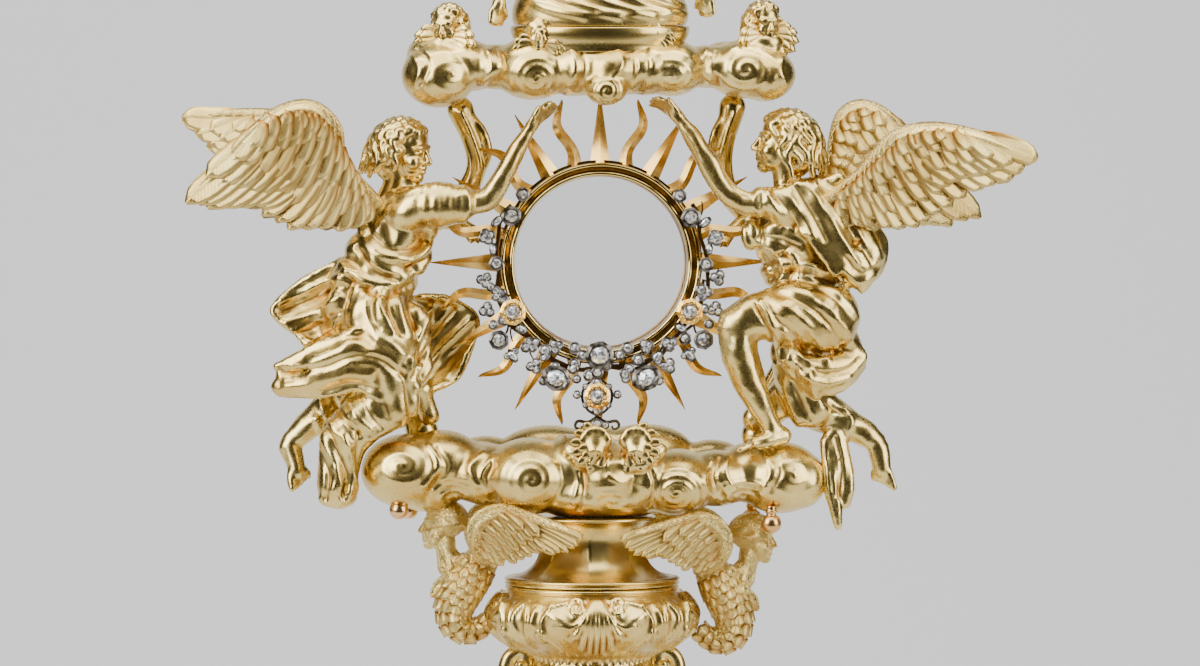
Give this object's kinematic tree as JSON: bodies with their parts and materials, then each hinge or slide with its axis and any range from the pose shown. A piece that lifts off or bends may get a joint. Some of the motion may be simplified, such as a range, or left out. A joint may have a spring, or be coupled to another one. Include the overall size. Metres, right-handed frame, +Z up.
{
  "type": "monstrance",
  "caption": "Silver-gilt sun monstrance: two winged angels on a bank of clouds lift a second bank with a crowning figure over a glazed case ringed by rays and a garland of stones.",
  "frame": {"origin": "on the table plane, on the stem's axis, under the middle of the foot", "axes": "+Z up the stem; the glazed case faces -Y; +X is to the viewer's right"},
  "size_m": [0.3742, 0.156, 0.6518],
  "materials": {
    "silver_gilt": "polished fire gilding over cast and chased silver, warmer and duller in the recesses",
    "clear_glass": "clear, with a few fine specks",
    "dark_silver": "darkened silver settings with rose-cut stones on brownish gilt stems"
  },
  "bodies": {
    "root": {"foot": "silver_gilt", "stem_baluster": "silver_gilt", "leaf_calyx": "silver_gilt", "vase_knop": "silver_gilt", "waisted_neck": "silver_gilt", "scroll_left": "silver_gilt", "scroll_right": "silver_gilt", "herm_left": "silver_gilt", "herm_right": "silver_gilt", "cloud_lower": "silver_gilt", "ball_nut_left_front": "silver_gilt", "ball_nut_left_back": "silver_gilt", "ball_nut_right_front": "silver_gilt", "ball_nut_right_back": "silver_gilt", "strut_left": "silver_gilt", "strut_right": "silver_gilt", "angel_left": "silver_gilt", "wing_left_near": "silver_gilt", "wing_left_far": "silver_gilt", "angel_right": "silver_gilt", "wing_right_near": "silver_gilt", "wing_right_far": "silver_gilt", "sunburst": "silver_gilt", "glazed_case": "silver_gilt", "cloud_upper": "silver_gilt", "crown_collar": "silver_gilt", "crowning_figure": "silver_gilt", "glass_front": "clear_glass", "glass_back": "clear_glass", "jewel_garland": "dark_silver", "jewel_pendant": "dark_silver"}
  },
  "joints": []
}
